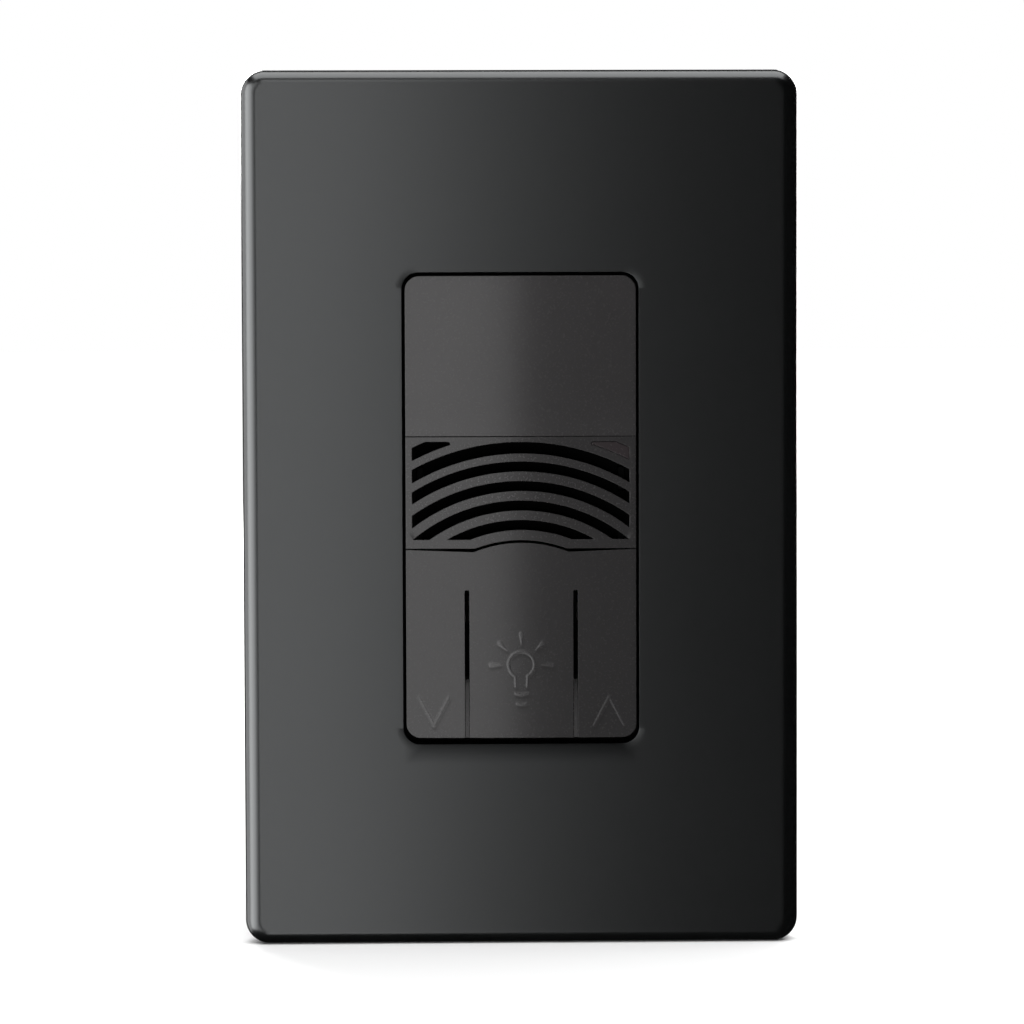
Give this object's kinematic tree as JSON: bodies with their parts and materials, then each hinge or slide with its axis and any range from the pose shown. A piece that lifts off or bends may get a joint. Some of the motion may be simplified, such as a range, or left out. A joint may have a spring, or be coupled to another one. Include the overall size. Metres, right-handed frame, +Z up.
{
  "type": "occupancy sensor wall switch",
  "caption": "Decorator-style wall switch: sensor lens, arched acoustic grille and push keys for dim down, on/off and dim up, in a screwless wall plate.",
  "frame": {"origin": "centre of the wall plate's opening on the wall surface, halfway between the two wall-box screws", "axes": "+X to the right for someone facing the switch, +Y into the wall, +Z up"},
  "size_m": [0.0788, 0.0427, 0.124],
  "materials": {
    "plate_plastic": "fine matte charcoal plastic",
    "insert_plastic": "fine matte charcoal plastic, slightly warmer than the plate",
    "lens_plastic": "satin infrared-passing plastic",
    "tinted_window": "dark tinted light pipe",
    "frame_plastic": "moulded black plastic",
    "housing_plastic": "moulded black plastic",
    "mesh_cloth": "black acoustic cloth",
    "zinc_steel": "zinc-plated steel",
    "brass": "plain brass",
    "nickel_steel": "nickel-plated steel",
    "green_steel": "green dyed screw",
    "fibre": "tan fibre washer",
    "circuit_board": "green solder-masked board",
    "chip_epoxy": "black epoxy",
    "relay_case": "dark blue-black case",
    "capacitor_can": "sleeved aluminium can",
    "film_capacitor": "yellow film capacitor case",
    "ferrite": "sintered ferrite",
    "winding_tape": "yellow insulating tape over copper",
    "sensor_can": "plated sensor can",
    "silicon_window": "dark coated silicon",
    "transducer_can": "anodised aluminium capsule",
    "boot_rubber": "soft black rubber",
    "lamp_epoxy": "milky lamp epoxy",
    "switch_case": "black switch case",
    "plunger_plastic": "brick red switch button",
    "dial_plastic": "white dial rotor",
    "dial_case": "blue dial case",
    "terminal_plastic": "green terminal block"
  },
  "bodies": {
    "chassis": {"plate_subframe": "frame_plastic", "plate_screws": "zinc_steel", "mounting_strap": "zinc_steel", "mounting_screws": "zinc_steel", "screw_retainers": "fibre", "ground_screw": "green_steel", "front_frame": "frame_plastic", "sensor_lens": "lens_plastic", "grille": "insert_plastic", "status_window": "tinted_window", "acoustic_mesh": "mesh_cloth", "key_bridge": "insert_plastic", "pir_sensor": "sensor_can", "pir_filter": "silicon_window", "pir_holder": "switch_case", "ultrasonic_transmitter": "transducer_can", "ultrasonic_receiver": "transducer_can", "transducer_boots": "boot_rubber", "status_led": "lamp_epoxy", "key_switch_bodies": "switch_case", "dial_bodies": "dial_case", "sensor_board": "circuit_board", "power_board": "circuit_board", "board_header": "chip_epoxy", "control_chips": "chip_epoxy", "relay": "relay_case", "electrolytic_capacitors": "capacitor_can", "transformer_core": "ferrite", "transformer_winding": "winding_tape", "filter_capacitor": "film_capacitor", "rear_housing": "housing_plastic", "housing_screws": "zinc_steel", "terminal_plates": "brass", "hot_terminal_screws": "brass", "neutral_terminal_screw": "nickel_steel", "dimming_terminal_block": "terminal_plastic", "dimming_terminal_screws": "nickel_steel"},
    "wall_plate": {"wall_plate": "plate_plastic"},
    "dim_down_key": {"dim_down_key": "insert_plastic"},
    "on_off_key": {"on_off_key": "insert_plastic"},
    "dim_up_key": {"dim_up_key": "insert_plastic"},
    "dim_down_plunger": {"dim_down_plunger": "plunger_plastic"},
    "on_off_plunger": {"on_off_plunger": "plunger_plastic"},
    "dim_up_plunger": {"dim_up_plunger": "plunger_plastic"},
    "time_delay_dial": {"time_delay_dial": "dial_plastic"},
    "sensitivity_dial": {"sensitivity_dial": "dial_plastic"}
  },
  "joints": [
    {"name": "wall_plate_pull", "type": "slide", "parent": "chassis", "child": "wall_plate", "axis": [0, -1, 0], "range_m": [0, 0.025]},
    {"name": "dim_down_press", "type": "hinge", "parent": "chassis", "child": "dim_down_key", "pos_m": [-0.0116, -0.00775, -0.0115], "axis": [1, 0, 0], "range_deg": [0, 2], "stiffness_Nm_per_rad": 0.7},
    {"name": "dim_down_plunger_slide", "type": "slide", "parent": "chassis", "child": "dim_down_plunger", "axis": [0, 1, 0], "range_m": [0, 0.00045]},
    {"name": "on_off_press", "type": "hinge", "parent": "chassis", "child": "on_off_key", "pos_m": [0, -0.00775, -0.0115], "axis": [1, 0, 0], "range_deg": [0, 2], "stiffness_Nm_per_rad": 0.7},
    {"name": "on_off_plunger_slide", "type": "slide", "parent": "chassis", "child": "on_off_plunger", "axis": [0, 1, 0], "range_m": [0, 0.00045]},
    {"name": "dim_up_press", "type": "hinge", "parent": "chassis", "child": "dim_up_key", "pos_m": [0.0116, -0.00775, -0.0115], "axis": [1, 0, 0], "range_deg": [0, 2], "stiffness_Nm_per_rad": 0.7},
    {"name": "dim_up_plunger_slide", "type": "slide", "parent": "chassis", "child": "dim_up_plunger", "axis": [0, 1, 0], "range_m": [0, 0.00045]},
    {"name": "time_delay_turn", "type": "hinge", "parent": "chassis", "child": "time_delay_dial", "pos_m": [-0.007, -0.002, -0.0159], "axis": [0, 1, 0], "range_deg": [-130, 130]},
    {"name": "sensitivity_turn", "type": "hinge", "parent": "chassis", "child": "sensitivity_dial", "pos_m": [0.007, -0.002, -0.0159], "axis": [0, 1, 0], "range_deg": [-130, 130]}
  ],
  "couplings": [
    {"joint": "dim_down_plunger_slide", "follows": "dim_down_press", "m_per_rad": 0.0125},
    {"joint": "on_off_plunger_slide", "follows": "on_off_press", "m_per_rad": 0.0125},
    {"joint": "dim_up_plunger_slide", "follows": "dim_up_press", "m_per_rad": 0.0125}
  ]
}
